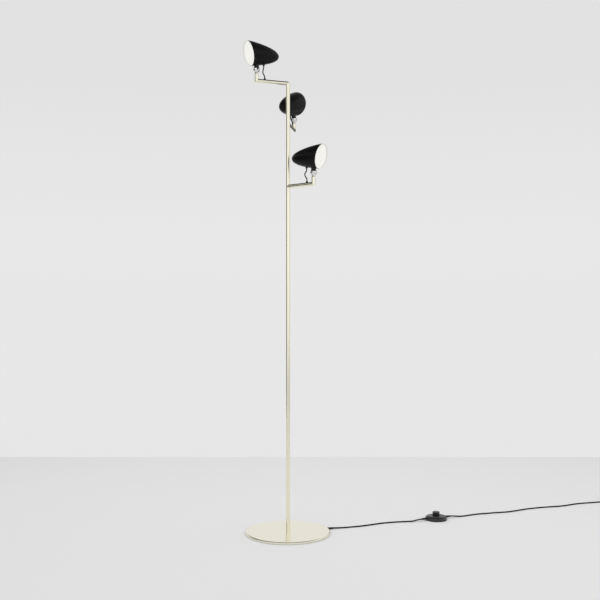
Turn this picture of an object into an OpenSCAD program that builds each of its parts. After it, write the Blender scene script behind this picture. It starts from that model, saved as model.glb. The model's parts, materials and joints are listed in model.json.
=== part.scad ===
// Floor lamp with three swivelling bullet shades on a slim tube pole.
// Millimetres, +Z up. The origin is the centre of the base's underside, on the floor.

/* [Base] */
// Diameter of the base disc
base_d = 300; // [250:5:360]
// Thickness of the base disc
base_t = 7; // [7:0.5:12]
// Radius of the round on the disc's upper edge
base_edge_r = 3; // [1:0.5:4]
// Thickness of the felt pad under the disc
pad_t = 1; // [0.5:0.5:3]
// Distance from the disc's edge in to the pad's edge
pad_inset = 5; // [2:1:15]

/* [Pole and arms] */
// Outer diameter of the tube of the pole, arms and stems
tube_d = 14; // [12:0.2:17]
// Wall of that tube
tube_wall = 1.5; // [1:0.25:2]
// Distance from the pole's axis to each stem's axis
arm_len = 117; // [110:1:150]
// Height of the top arm's axis
arm_z_top = 1601; // [1540:1:1930]
// Height of the middle arm's axis
arm_z_middle = 1457; // [1400:1:1500]
// Height of the bottom arm's axis
arm_z_bottom = 1234; // [1100:1:1290]
// Direction of the top arm, anticlockwise from +X
arm_az_top = 200; // [180:1:220]
// Direction of the middle arm
arm_az_middle = 80; // [60:1:100]
// Direction of the bottom arm
arm_az_bottom = 320; // [300:1:340]
// Height from an arm's axis to the centre of its swivel ball
stem_rise = 40; // [38:1:60]

/* [Swivels] */
// Diameter of the swivel ball
ball_d = 24; // [20:0.4:29]
// Thickness of the friction washer between the ball's halves
washer_t = 0.8; // [0.5:0.1:1.5]
// Diameter of the clamp screw
screw_d = 5; // [4:0.5:6]
// Diameter of the neck that passes through the shade
neck_d = 10; // [8:0.5:12]
// Gap from the ball up to the shade
ball_to_shade = 1.4; // [1:0.2:6]
// Turn of the top shade from its arm's direction
pan_top = 5; // [-30:1:30]
// Turn of the middle shade from its arm's direction
pan_middle = -17; // [-30:1:30]
// Turn of the bottom shade from its arm's direction
pan_bottom = 12; // [-30:1:30]
// Upward tilt of the middle shade
tilt_middle = 17; // [0:1:25]

/* [Shades] */
// Diameter of the shade at its mouth
shade_d = 86; // [71:1:104]
// Length of the shade's curved body along its axis
shade_len = 114; // [95:1:137]
// Distance from the stem's axis forward to the end of the curved body
shade_reach = 30; // [25:1:36]
// Wall of the shade
shade_wall = 1.5; // [1:0.25:2.5]
// Slant of the mouth, whose top overhangs
mouth_slant = 15; // [0:1:20]
// Depth of the diffuser's face inside the mouth
diffuser_recess = 2; // [1:0.5:4]
// Thickness of the diffuser
diffuser_t = 3; // [2:0.5:4]
// Diameter of the heat sink inside the shade
heat_sink_d = 51; // [40:1:52]

/* [Cables] */
// Diameter of the mains lead
lead_d = 5; // [4.2:0.1:6]
// Diameter of the jumper cables at the heads
jumper_d = 4; // [3.5:0.1:4.5]
// Distance from a stem's axis back to the cable bush in its arm
bush_back = 30; // [26:1:36]

/* [Foot switch] */
// Diameter of the foot switch
switch_d = 80; // [76:1:90]
// Height of the switch's housing
switch_h = 17; // [16:0.5:22]
// Diameter of the foot button
button_d = 28; // [22:0.5:32]
// Height of the button's top above the floor
button_top_z = 30; // [26:0.5:34]
// Travel of the button
button_travel = 5; // [3:0.5:6]

/* [Plug] */
// Length of the plug's body
plug_len = 36; // [30:1:45]
// Width of the plug's body
plug_w = 35; // [30:1:40]
// Thickness of the plug's body
plug_t = 17; // [14:0.5:18]

/* [Hidden] */
$fn = 64;
places = ["top", "middle", "bottom"];
arm_z = [arm_z_top, arm_z_middle, arm_z_bottom];
arm_az = [arm_az_top, arm_az_middle, arm_az_bottom];
pan = [pan_top, pan_middle, pan_bottom];
tilt = [0, tilt_middle, 0];
head_nodes = [
    "knuckle_lower", "knuckle_washer", "knuckle_screw", "knuckle_upper", "shade_nut", "shade",
    "heat_sink", "led_board", "reflector", "diffuser", "shade_bush", "jumper"
];

// Fits
eps = 0.05;         // running clearance of a pin in its hole
soft_gap = 0.3;     // clearance between curved faces of moving pieces
cut = 1;            // how far a cutter runs past what it cuts

// Tube and base
tube_r = tube_d / 2;
bore_r = tube_r - tube_wall;
base_top = pad_t + base_t;
nut_pocket_d = 26;
nut_pocket_roof = 2.5;
nut_across = 18;
nut_h = 3.4;
insert_stud_r = bore_r - 0.5;
insert_bore_r = 3;
insert_len = 32;
groove_w = lead_d + 1.4;
groove_h = groove_w - 0.3;
lead_exit_z = pad_t + groove_w / 2 - 0.2;
wire_slot_w = jumper_d + 0.4;
lead_az = 18;
lead_start_r = base_d / 2 - 10;
base_bush_tip_r = base_d / 2 + 24;
base_bush_r = groove_w / 2 - 0.25;
base_bush_flange_r = base_bush_r + 0.95;

// Cable bushes in the arms and shades
bush_r = 4.2;
bush_nose_r = 3;
bush_out = 4;
bush_in = 2.4;
shade_bush_in = shade_wall + 3;
bush_bore_r = jumper_d / 2 + eps;
wire_r = jumper_d / 2;

// Swivel, from its centre
ball_r = ball_d / 2;
collar_h = 3;
collar_z = -ball_r - 1 - collar_h;
stud_len = 10;
saddle_r = 8.5;
screw_head_r = 3.6;
screw_head_h = 2.8;
screw_half = ball_r - 1.2;

// Shade, from the swivel's centre
shade_r = shade_d / 2;
shade_nose = shade_reach - shade_len;
body_power = 1.24;
body_round = 0.45;

// Radius of the body at x, drawn in from the outer face by inset
function body_r(x, inset) =
    let (along = min(1, max(0, (x - shade_nose - inset) / (shade_len - inset))))
    (shade_r - inset) * pow(1 - pow(1 - along, body_power), body_round);

shade_rise = ball_r + ball_to_shade + body_r(0, 0);
shade_bush_x = -27;
shade_nut_h = 3.5;
shade_nut_across = neck_d + 6;
shade_nut_z = shade_rise - body_r(-shade_nut_across / 2, shade_wall) + 0.8;
neck_top = shade_nut_z + shade_nut_h + 0.7;
board_x = -20;
board_t = 1.6;
heat_sink_len = 28;
heat_sink_core_r = 13;
heat_sink_fins = 5;
heat_sink_fin_t = 2.4;
heat_sink_room_r = body_r(shade_bush_x, 0) - shade_bush_in - soft_gap;
reflector_wall = 1;
reflector_back_r = 18;
reflector_waist_r = shade_rise - neck_top - reflector_wall - 1.2;
reflector_waist_x = shade_nut_across / 2 + 1;
reflector_front_r = shade_r - shade_wall - 3;
reflector_flare_x = 2 * reflector_waist_x;

// Routes of the cables. The jumpers' points are measured from the swivel's centre, with x along
// the arm, y to its left and z up. The lead's points are measured from the lamp's origin, each with
// the height of the lead's underside above the floor.
jumper_mid = [
    [[-25.4, -1.4, 3.6], [-23.9, -1.2, -4.1], [-24, -0.9, -12], [-27.8, -0.2, -18.7]],
    [[-28.2, 7.2, -2.1], [-32.4, 3.1, -10.3], [-32.9, 0.6, -16.1]],
    [[-28.4, -4.8, 5.7], [-36, -3.2, -1.9], [-36.5, -1.1, -9.9]]
];
// How far each jumper runs straight on past its two bushes, first under the shade
jumper_run = [[5.9, 4.6], [3.2, 5], [4.1, 7]];
jumper_tip = 0.2;
switch_at = [557, 189];
switch_az = 22;
sleeve_z = 7.4;
sleeve_tip = 62;
sleeve_root = 34;
near_points = [
    [188, 61, 0.5], [208, 66.5, 0.1], [232, 74, 0.1], [262, 84, 0.1], [290, 97, 0.1],
    [318, 112, 0.1], [348, 127, 0.1], [378, 137, 0.1], [408, 145, 0.1], [438, 150, 0.1],
    [464, 153, 0.9], [482, 158.5, 3.7]
];
far_points = [
    [632, 219, 3.3], [654, 227, 0.4], [680, 238, 0.1], [708, 253, 0.1], [738, 266, 0.1],
    [768, 274, 0.1], [796, 283, 0.1], [824, 289, 0.1], [852, 297, 0.1], [880, 310, 0.1],
    [908, 326, 0.1], [936, 342, 0.1], [966, 355, 0.1], [996, 366, 0.1], [1026, 375, 0.1],
    [1056, 383, 0.1], [1084, 390, 0.1], [1112, 402, 0.1], [1140, 418, 0.1], [1168, 432, 0.1],
    [1198, 442, 0.1], [1228, 450, 0.1], [1258, 459, 0.1], [1290, 466, 0.3], [1320, 470, 0.9]
];
coil_at = [1345, 512];
coil_az = -85;
coil_turns = 3.5;
coil_in_r = 20.5;
coil_pitch = lead_d + 0.45;
coil_out_r = coil_in_r + coil_pitch * coil_turns;
tie_t = 0.8;
tie_gap = 0.2;
coil_z = tie_t + 2 * tie_gap + lead_d / 2;
tail_len = 30;
plug_relief = 22;
plug_pin_len = 19;
plug_pin_d = 4;
plug_pin_gap = 19;

// ---------- Routes and swept tubes ----------

function unit(v) = v / norm(v);
function polar(r, az, z) = [r * cos(az), r * sin(az), z];
function turned(p, az) = [p.x * cos(az) - p.y * sin(az), p.x * sin(az) + p.y * cos(az), p.z];

// A smooth curve through the points, in equal steps between each two
function at_point(p, i) = p[max(0, min(len(p) - 1, i))];
function blend_at(a, b, c, d, t) =
    0.5 * (2 * b + (c - a) * t + (2 * a - 5 * b + 4 * c - d) * t * t
    + (3 * b - a - 3 * c + d) * t * t * t);
function smooth(p, steps) = concat(
    [for (i = [0 : len(p) - 2]) for (k = [0 : steps - 1])
        blend_at(at_point(p, i - 1), p[i], p[i + 1], at_point(p, i + 2), k / steps)],
    [p[len(p) - 1]]
);
function heading(path, i) = unit(at_point(path, i + 1) - at_point(path, i - 1));
function ring(path, i, r, sides, side_ref) =
    let (t = heading(path, i), s = unit(cross(side_ref, t)), u = cross(t, s))
    [for (k = [0 : sides - 1]) path[i] + r * (cos(360 * k / sides) * s + sin(360 * k / sides) * u)];

// One closed tube round a path
module tube_along(path, r, sides, side_ref) {
    count = len(path);
    points = [for (i = [0 : count - 1]) each ring(path, i, r, sides, side_ref)];
    walls = [for (i = [0 : count - 2]) for (k = [0 : sides - 1])
        let (a = i * sides + k, b = i * sides + (k + 1) % sides)
        each [[a, b + sides, b], [a, a + sides, b + sides]]];
    start_cap = [for (k = [1 : sides - 2]) [0, k, k + 1]];
    last = (count - 1) * sides;
    end_cap = [for (k = [1 : sides - 2]) [last, last + k + 1, last + k]];
    polyhedron(points = points, faces = concat(walls, start_cap, end_cap), convexity = 10);
}

// A box that keeps what lies below the slanted plane through the origin, facing +X and +Z
module below_mitre(size) {
    rotate([0, 45, 0]) translate([-size / 2, -size / 2, -size]) cube(size);
}

// ---------- Base ----------

module base_pad() {
    color("dimgray") cylinder(r = base_d / 2 - pad_inset, h = pad_t, $fn = 128);
}

module base_plate() {
    r = base_d / 2;
    color("palegoldenrod") difference() {
        translate([0, 0, pad_t]) rotate_extrude($fn = 128) union() {
            square([r - base_edge_r, base_t]);
            square([r, base_t - base_edge_r]);
            intersection() {
                translate([r - base_edge_r, base_t - base_edge_r]) circle(base_edge_r);
                square([r, base_t]);
            }
        }
        translate([0, 0, pad_t - cut]) cylinder(d = nut_pocket_d, h = base_t - nut_pocket_roof + cut);
        translate([0, 0, pad_t]) cylinder(r = insert_stud_r + eps, h = base_t + cut);
        rotate([0, 0, lead_az]) translate([0, -groove_w / 2, pad_t - cut])
            cube([r + cut, groove_w, groove_h + cut]);
    }
}

// The slot through which the wiring turns from the pole's foot into the base's groove
module wire_slot() {
    rotate([0, 0, lead_az]) translate([0, -wire_slot_w / 2, 0])
        cube([nut_across, wire_slot_w, lead_exit_z + wire_slot_w / 2]);
}

module pole_insert() {
    stud_z = base_top - nut_pocket_roof - nut_h - 0.6;
    color("silver") difference() {
        union() {
            translate([0, 0, base_top]) cylinder(r = bore_r - eps, h = insert_len);
            translate([0, 0, stud_z]) cylinder(r = insert_stud_r, h = base_top - stud_z + cut);
        }
        translate([0, 0, stud_z - cut]) cylinder(r = insert_bore_r, h = insert_len + base_top + cut);
        wire_slot();
    }
}

module pole_nut() {
    color("silver") difference() {
        translate([0, 0, base_top - nut_pocket_roof - nut_h])
            cylinder(d = nut_across, h = nut_h, $fn = 6);
        cylinder(r = insert_stud_r + eps, h = base_top);
        wire_slot();
    }
}

// Strain relief in the end of the base's groove, tapering towards the lead
module base_bush() {
    flange_at = base_d / 2 + 0.1;
    color("black") rotate([0, 0, lead_az]) translate([0, 0, lead_exit_z]) rotate([0, 90, 0])
        difference() {
            union() {
                translate([0, 0, lead_start_r]) cylinder(r = base_bush_r, h = flange_at - lead_start_r + cut);
                translate([0, 0, flange_at])
                    cylinder(r1 = base_bush_flange_r, r2 = base_bush_r, h = base_bush_tip_r - flange_at);
            }
            translate([0, 0, lead_start_r - cut])
                cylinder(r = lead_d / 2 + eps, h = base_bush_tip_r - lead_start_r + 2 * cut);
        }
}

// ---------- Pole and arms ----------

module pole() {
    color("khaki") difference() {
        intersection() {
            translate([0, 0, base_top]) cylinder(r = tube_r, h = arm_z[0] + tube_r - base_top);
            translate([0, 0, arm_z[0]]) rotate([0, 0, arm_az[0]]) below_mitre(2 * arm_z[0]);
        }
        translate([0, 0, base_top - cut]) cylinder(r = bore_r, h = arm_z[0] - base_top + cut);
        for (i = [1, 2]) translate([0, 0, arm_z[i]]) rotate([0, 0, arm_az[i]]) rotate([0, 90, 0])
            cylinder(r = wire_r + 1, h = tube_d);
    }
}

// Arm and stem in one mitred piece; x runs along the arm from the pole's axis
module arm(i) {
    stem_top = stem_rise + collar_z;
    color("khaki") translate([0, 0, arm_z[i]]) rotate([0, 0, arm_az[i]]) difference() {
        union() {
            intersection() {
                rotate([0, 90, 0]) cylinder(r = tube_r, h = arm_len + tube_r);
                translate([arm_len, 0, 0]) below_mitre(4 * arm_len);
            }
            difference() {
                translate([arm_len, 0, -tube_r]) cylinder(r = tube_r, h = stem_top + tube_r);
                translate([arm_len, 0, 0]) below_mitre(4 * arm_len);
            }
        }
        translate([-cut, 0, 0]) rotate([0, 90, 0]) cylinder(r = bore_r, h = arm_len + cut);
        translate([arm_len, 0, 0]) cylinder(r = bore_r, h = stem_top + cut);
        translate([arm_len - bush_back, 0, 0]) cylinder(r = bush_r + eps, h = tube_r + cut);
        if (i == 0) below_mitre(4 * arm_len);
        else translate([0, 0, -tube_d]) cylinder(r = tube_r + eps / 2, h = 2 * tube_d);
    }
}

module cable_bush(outside, inside) {
    difference() {
        union() {
            translate([0, 0, -inside]) cylinder(r = bush_r, h = inside + outside / 2);
            translate([0, 0, outside / 2]) cylinder(r1 = bush_r, r2 = bush_nose_r, h = outside / 2);
        }
        translate([0, 0, -inside - cut]) cylinder(r = bush_bore_r, h = inside + outside + 2 * cut);
    }
}

module arm_bushes() {
    color("black") for (i = [0 : 2])
        translate([0, 0, arm_z[i] + tube_r]) rotate([0, 0, arm_az[i]])
            translate([arm_len - bush_back, 0, 0]) cable_bush(bush_out, bush_in);
}

// The wiring that the base, pole and arms hold
module inner_cable() {
    riser_r = wire_r + 0.4;
    branch_r = wire_r - 0.2;
    color("white") union() {
        rotate([0, 0, lead_az]) translate([0, 0, lead_exit_z]) rotate([0, 90, 0])
            cylinder(r = branch_r, h = lead_start_r);
        translate([0, 0, pad_t + 0.5]) cylinder(r = riser_r, h = arm_z[0] - pad_t - 0.6);
        for (i = [0 : 2]) translate([0, 0, arm_z[i]]) rotate([0, 0, arm_az[i]]) {
            rotate([0, 90, 0]) cylinder(r = branch_r, h = arm_len - bush_back);
            translate([arm_len - bush_back, 0, -wire_r]) cylinder(r = wire_r, h = wire_r + tube_r + 1);
        }
    }
}

// ---------- Swivels ----------

// Places what is drawn round a swivel's centre: first along the arm, then as its shade is aimed
module at_swivel(i) {
    translate([0, 0, arm_z[i] + stem_rise]) rotate([0, 0, arm_az[i]]) translate([arm_len, 0, 0])
        children();
}

module aimed(i) {
    at_swivel(i) rotate([0, 0, pan[i]]) children();
}

module tilted(i) {
    aimed(i) rotate([0, -tilt[i], 0]) children();
}

// Half of the space round the ball: the lower knuckle's side is at negative y
module half_space(side, from) {
    size = 8 * ball_d;
    translate([-size / 2, side > 0 ? from : -from - size, -size / 2]) cube(size);
}

module knuckle_lower() {
    color("gainsboro") difference() {
        union() {
            intersection() {
                sphere(r = ball_r);
                half_space(-1, washer_t / 2);
            }
            translate([0, 0, collar_z]) cylinder(r1 = tube_r, r2 = tube_r - 1, h = collar_h);
            translate([0, 0, collar_z + collar_h]) cylinder(r = tube_r - 1, h = ball_r / 2);
            translate([0, 0, collar_z - stud_len]) cylinder(r = bore_r - eps, h = stud_len + cut);
        }
        intersection() {
            sphere(r = ball_r + soft_gap);
            half_space(1, -washer_t / 2);
        }
        rotate([90, 0, 0]) cylinder(r = screw_d / 2 + eps / 2, h = 2 * ball_r);
    }
}

module knuckle_washer() {
    color("dimgray") rotate([90, 0, 0]) difference() {
        translate([0, 0, -washer_t / 2]) cylinder(r = ball_r - 2, h = washer_t);
        translate([0, 0, -washer_t]) cylinder(r = screw_d / 2 + eps, h = 2 * washer_t);
    }
}

// Clamp screw from the upper half into the lower half, with a hexagon socket in its head
module knuckle_screw() {
    color("dimgray") rotate([-90, 0, 0]) difference() {
        union() {
            translate([0, 0, -screw_half]) cylinder(d = screw_d, h = 2 * screw_half - screw_head_h);
            translate([0, 0, screw_half - screw_head_h]) cylinder(r = screw_head_r, h = screw_head_h);
        }
        translate([0, 0, screw_half - screw_head_h + 0.8])
            cylinder(d = 3.4, h = screw_head_h, $fn = 6);
    }
}

module knuckle_upper() {
    split = washer_t / 2 + eps;
    color("gainsboro") difference() {
        union() {
            intersection() {
                sphere(r = ball_r);
                half_space(1, split);
            }
            difference() {
                translate([0, 0, ball_r / 2]) cylinder(r = saddle_r, h = ball_r);
                shade_solid(0);
            }
            cylinder(d = neck_d, h = neck_top);
        }
        intersection() {
            sphere(r = ball_r + soft_gap);
            half_space(-1, -split);
        }
        rotate([-90, 0, 0]) cylinder(r = screw_d / 2 + eps, h = 2 * ball_r);
        rotate([-90, 0, 0]) translate([0, 0, screw_half - screw_head_h])
            cylinder(r = screw_head_r + eps, h = ball_r);
    }
}

// ---------- Shades ----------

// The closed bullet round the shade's axis, long enough to be cut by the slanted mouth.
// Its points crowd towards the nose, where the curve is tightest.
module shade_solid(inset) {
    steps = 22;
    nose = shade_nose + inset;
    curve = [for (k = [0 : steps]) let (x = nose + (shade_reach - nose) * pow(k / steps, 1.8))
        [body_r(x, inset), x]];
    outline = concat(curve, [[shade_r - inset, shade_reach + 20], [0, shade_reach + 20]]);
    translate([0, 0, shade_rise]) rotate([0, 90, 0]) rotate_extrude($fn = 96) polygon(outline);
}

// Everything in front of the slanted plane that lies depth behind the mouth
module before_mouth(depth) {
    size = 3 * shade_d;
    translate([shade_reach, 0, shade_rise]) rotate([0, mouth_slant, 0])
        translate([-depth, -size / 2, -size / 2]) cube(size);
}

module shade() {
    color("black") difference() {
        shade_solid(0);
        shade_solid(shade_wall);
        before_mouth(0);
        cylinder(d = neck_d + 2 * eps, h = shade_rise);
        translate([shade_bush_x, 0, 0]) cylinder(r = bush_r + eps, h = shade_rise);
    }
}

module shade_nut() {
    color("silver") difference() {
        translate([0, 0, shade_nut_z]) cylinder(d = shade_nut_across, h = shade_nut_h, $fn = 6);
        cylinder(r = neck_d / 2 + eps, h = shade_rise);
    }
}

// Turned block with disc fins, each as wide as the shade leaves room for behind it
module heat_sink() {
    pitch = (heat_sink_len - heat_sink_fin_t) / (heat_sink_fins - 1);
    color("silver") translate([board_x, 0, shade_rise]) rotate([0, -90, 0]) union() {
        cylinder(r = heat_sink_core_r, h = heat_sink_len);
        for (k = [0 : heat_sink_fins - 1]) translate([0, 0, k * pitch])
            cylinder(h = heat_sink_fin_t, r = min(heat_sink_d / 2, heat_sink_room_r,
                body_r(board_x - k * pitch - heat_sink_fin_t, shade_wall) - soft_gap));
    }
}

module led_board() {
    color("white") translate([board_x, 0, shade_rise]) rotate([0, 90, 0])
        cylinder(r = reflector_back_r - 1, h = board_t);
}

module reflector() {
    front = shade_reach + 30;
    outline = [
        [reflector_back_r, board_x], [reflector_waist_r, reflector_waist_x],
        [reflector_front_r, reflector_flare_x], [reflector_front_r, front],
        [reflector_front_r + reflector_wall, front],
        [reflector_front_r + reflector_wall, reflector_flare_x],
        [reflector_waist_r + reflector_wall, reflector_waist_x],
        [reflector_back_r + reflector_wall, board_x]
    ];
    color("white") difference() {
        translate([0, 0, shade_rise]) rotate([0, 90, 0]) rotate_extrude() polygon(outline);
        before_mouth(diffuser_recess + diffuser_t + eps);
    }
}

module diffuser() {
    color("white") difference() {
        intersection() {
            shade_solid(shade_wall + 0.2);
            before_mouth(diffuser_recess + diffuser_t);
        }
        before_mouth(diffuser_recess);
    }
}

module shade_bush() {
    under = shade_rise - body_r(shade_bush_x, 0);
    color("black") translate([shade_bush_x, 0, under]) rotate([180, 0, 0])
        cable_bush(bush_out, shade_bush_in);
}

// Where a jumper meets its two bushes, measured like its route
function jumper_foot() = [-bush_back, 0, tube_r - stem_rise + 1];
function jumper_root(i, out) =
    let (z = shade_rise - body_r(shade_bush_x, 0) - out)
    turned([shade_bush_x * cos(tilt[i]) - z * sin(tilt[i]), 0,
        shade_bush_x * sin(tilt[i]) + z * cos(tilt[i])], pan[i]);

module jumper(i) {
    foot = jumper_foot();
    mouth = foot + [0, 0, bush_out - 1 + jumper_tip];
    route = concat(
        [for (out = [-1, bush_out + jumper_tip, bush_out + jumper_tip + jumper_run[i][0]])
            jumper_root(i, out)],
        jumper_mid[i],
        [mouth + [0, 0, jumper_run[i][1]], mouth, foot]
    );
    color("black") at_swivel(i) tube_along(smooth(route, 3), jumper_d / 2, 8, [0, 1, 0]);
}

// ---------- Foot switch ----------

module at_switch() {
    translate([switch_at.x, switch_at.y, 0]) rotate([0, 0, switch_az]) children();
}

switch_r = switch_d / 2;
base_shell_t = 3;
cover_z = 2;
cover_wall = 2;
button_hole_r = button_d / 2 + 0.4;
screw_ring_r = switch_r - 11;
boss_r = 3.4;
spring_r = 8;
contact_h = 4;
button_flange_z = base_shell_t + contact_h + button_travel + 0.5;
button_flange_h = 1.6;

// Outline of the cover, drawn in by inset: a low wall, then a shallow dome to the button
module cover_outline(inset) {
    top_r = button_hole_r + 3;
    arc = [for (a = [0 : 15 : 90])
        [top_r + (switch_r - inset - top_r) * cos(a), 9 + (switch_h - inset - 9) * sin(a)]];
    polygon(concat([[0, cover_z - (inset > 0 ? cut : 0)]],
        [[switch_r - inset, cover_z - (inset > 0 ? cut : 0)]], arc, [[0, switch_h - inset]]));
}

module switch_cover() {
    color("dimgray") at_switch() difference() {
        union() {
            difference() {
                rotate_extrude() cover_outline(0);
                rotate_extrude() cover_outline(cover_wall);
            }
            intersection() {
                for (a = [90 : 120 : 330]) rotate([0, 0, a]) translate([screw_ring_r, 0, base_shell_t])
                    cylinder(r = boss_r, h = switch_h);
                rotate_extrude() cover_outline(cover_wall / 2);
            }
        }
        cylinder(r = button_hole_r, h = switch_h + cut);
        for (a = [90 : 120 : 330]) rotate([0, 0, a]) translate([screw_ring_r, 0, 0])
            cylinder(r = 1.4 + eps, h = 9.5);
        translate([0, 0, sleeve_z]) rotate([0, 90, 0])
            cylinder(r = 4.2 + eps, h = switch_d + 2, center = true);
    }
}

module switch_base() {
    color("black") at_switch() difference() {
        union() {
            cylinder(r = switch_r - 0.4, h = cover_z);
            cylinder(r = switch_r - cover_wall - 0.2, h = base_shell_t - eps);
        }
        for (a = [90 : 120 : 330]) rotate([0, 0, a]) translate([screw_ring_r, 0, -cut]) {
            cylinder(r = 1.4 + eps, h = 2 * base_shell_t);
            cylinder(r = 3 + eps, h = cut + 1.8);
        }
    }
}

module switch_screws() {
    color("silver") at_switch() for (a = [90 : 120 : 330]) rotate([0, 0, a])
        translate([screw_ring_r, 0, 0]) union() {
            translate([0, 0, 0.6]) cylinder(r = 3, h = 1.2);
            translate([0, 0, 1.6]) cylinder(r = 1.4, h = 7.4);
        }
}

module switch_contacts() {
    color("white") at_switch() translate([-11, -9, base_shell_t - eps]) cube([22, 18, contact_h]);
}

module switch_spring() {
    foot = base_shell_t + contact_h;
    color("silver") at_switch() translate([0, 0, foot]) difference() {
        cylinder(r = spring_r, h = button_flange_z - foot);
        translate([0, 0, -cut]) cylinder(r = spring_r - 1, h = button_flange_z);
    }
}

// The button's wall leans out towards its rounded top
module switch_button() {
    edge = 2;
    r = button_d / 2;
    waist_r = r - 2;
    edge_z = button_top_z - edge;
    color("black") at_switch() rotate_extrude() union() {
        translate([0, button_flange_z]) square([button_hole_r + 1.6, button_flange_h]);
        polygon([[0, button_flange_z], [waist_r, button_flange_z], [waist_r, switch_h],
            [r, edge_z], [0, edge_z]]);
        translate([0, edge_z]) square([r - edge, edge]);
        intersection() {
            translate([r - edge, edge_z]) circle(edge);
            translate([0, edge_z]) square([r, edge]);
        }
    }
}

// The two tapered sleeves through which the lead enters and leaves the switch
module switch_sleeves() {
    color("black") at_switch() for (side = [0, 180]) rotate([0, 0, side])
        translate([sleeve_root, 0, sleeve_z]) rotate([0, 90, 0]) difference() {
            union() {
                cylinder(r = 4.2, h = switch_r + 2 - sleeve_root);
                translate([0, 0, switch_r + 2 - sleeve_root])
                    cylinder(r1 = 4.2, r2 = 3.1, h = sleeve_tip - switch_r - 2);
            }
            translate([0, 0, -cut])
                cylinder(r = lead_d / 2 + eps, h = sleeve_tip - sleeve_root + 2 * cut);
        }
}

// ---------- Mains lead ----------

function on_floor(points) = [for (p = points) p + [0, 0, lead_d / 2]];
function switch_point(x) = [
    switch_at.x + x * cos(switch_az), switch_at.y + x * sin(switch_az), sleeve_z
];

module lead_near() {
    route = concat(
        [polar(lead_start_r, lead_az, lead_exit_z), polar(base_bush_tip_r - 10, lead_az, lead_exit_z),
            polar(base_bush_tip_r + 2, lead_az, lead_exit_z)],
        on_floor(near_points),
        [switch_point(-sleeve_tip - 3), switch_point(-sleeve_tip + 10), switch_point(-sleeve_root)]
    );
    color("black") tube_along(smooth(route, 2), lead_d / 2, 10, [0, 0, 1]);
}

// The coil spirals in over its first layer, climbs in the half turn at its inner end and
// spirals out again over its second
coil_step = 15;
coil_half = coil_turns * 360;
function coil_r(a) = a < coil_half ? coil_out_r - coil_pitch * a / 360
    : coil_in_r + coil_pitch * (a - coil_half) / 360;
function coil_lift(a) =
    let (t = min(1, max(0, (a - coil_half + 90) / 180))) coil_pitch * t * t * (3 - 2 * t);
function coil_point(a) = [
    coil_at.x + coil_r(a) * cos(coil_az + a), coil_at.y + coil_r(a) * sin(coil_az + a),
    coil_z + coil_lift(a)
];
coil_path = [for (a = [0 : coil_step : 2 * coil_half]) coil_point(a)];
coil_heading = coil_az + 90;
coil_start = coil_point(0);
coil_end = coil_point(2 * coil_half);
plug_z = plug_t / 2;
tail_end = coil_end + polar(tail_len, coil_heading, plug_z - coil_end.z);

// Least distance between the middles of any two stretches of the coil half a turn apart or more
coil_count = len(coil_path);
apart = 180 / coil_step;
coil_gap = min([for (i = [0 : coil_count - 1 - apart]) for (j = [i + apart : coil_count - 1])
    norm(coil_path[i] - coil_path[j])]) - lead_d;
echo(coil_gap_to_itself = coil_gap);

module lead_far() {
    route = concat(
        [switch_point(sleeve_root), switch_point(sleeve_tip - 10), switch_point(sleeve_tip + 3)],
        on_floor(far_points),
        [coil_start - polar(lead_d, coil_heading, 0), coil_start]
    );
    color("black") tube_along(smooth(route, 2), lead_d / 2, 10, [0, 0, 1]);
}

// Distance along the coil's tail and the share of its descent to the plug
tail_steps = [[5, 0], [12, 0], [20, 0.7], [25, 1], [tail_len, 1]];

module lead_coil() {
    lead_in = [coil_start, coil_start + polar(lead_d, coil_heading, 0)];
    turns = [for (a = [2 * coil_step : coil_step : 2 * coil_half]) coil_point(a)];
    tail = [for (s = tail_steps) coil_end + polar(s[0], coil_heading, s[1] * (plug_z - coil_end.z))];
    color("black") tube_along(concat(lead_in, turns, tail), lead_d / 2, 6, [0, 0, 1]);
}

// A strap round the coil's turns with its small lock
module coil_tie() {
    wide = coil_out_r - coil_in_r + lead_d + 2 * tie_gap;
    high = coil_pitch + lead_d + 2 * tie_gap;
    color("black") translate([coil_at.x, coil_at.y, 0]) rotate([0, 0, 95])
        translate([(coil_in_r + coil_out_r) / 2, 0, tie_t + tie_gap + high / 2 - tie_gap])
            rotate([90, 0, 0]) linear_extrude(4, center = true) difference() {
                union() {
                    square([wide + 2 * tie_t, high + 2 * tie_t], center = true);
                    translate([wide / 2, -2.5]) square([4, 5]);
                }
                square([wide, high], center = true);
            }
}

// ---------- Plug ----------

module at_plug() {
    translate(tail_end) rotate([0, 0, coil_heading]) children();
}

module plug_body() {
    corner = 6;
    shoulder = 10;
    color("black") at_plug() difference() {
        union() {
            rotate([0, 90, 0]) cylinder(r1 = 3.2, r2 = 5, h = plug_relief + 2);
            translate([plug_relief, 0, 0]) hull() {
                for (side = [-1, 1]) {
                    translate([corner, side * (plug_w / 2 - shoulder), 0])
                        cylinder(r = corner, h = plug_t, center = true, $fn = 32);
                    translate([plug_len - 2, side * (plug_w / 2 - 2), 0])
                        cylinder(r = 2, h = plug_t, center = true, $fn = 32);
                    translate([plug_len / 2, side * (plug_w / 2 - corner), 0])
                        cylinder(r = corner, h = plug_t, center = true, $fn = 32);
                }
            }
        }
        translate([-cut, 0, 0]) rotate([0, 90, 0]) cylinder(r = lead_d / 2 + eps, h = 12 + cut);
        for (side = [-1, 1]) translate([plug_relief + plug_len - 8, side * plug_pin_gap / 2, 0])
            rotate([0, 90, 0]) cylinder(d = plug_pin_d + 2 * eps, h = 8 + cut);
    }
}

module plug_pins() {
    color("silver") at_plug() for (side = [-1, 1])
        translate([plug_relief + plug_len - 8, side * plug_pin_gap / 2, 0]) rotate([0, 90, 0])
            union() {
                cylinder(d = plug_pin_d, h = 8 + plug_pin_len - 1);
                translate([0, 0, 7 + plug_pin_len]) cylinder(d1 = plug_pin_d, d2 = 2.6, h = 1);
            }
}

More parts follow.
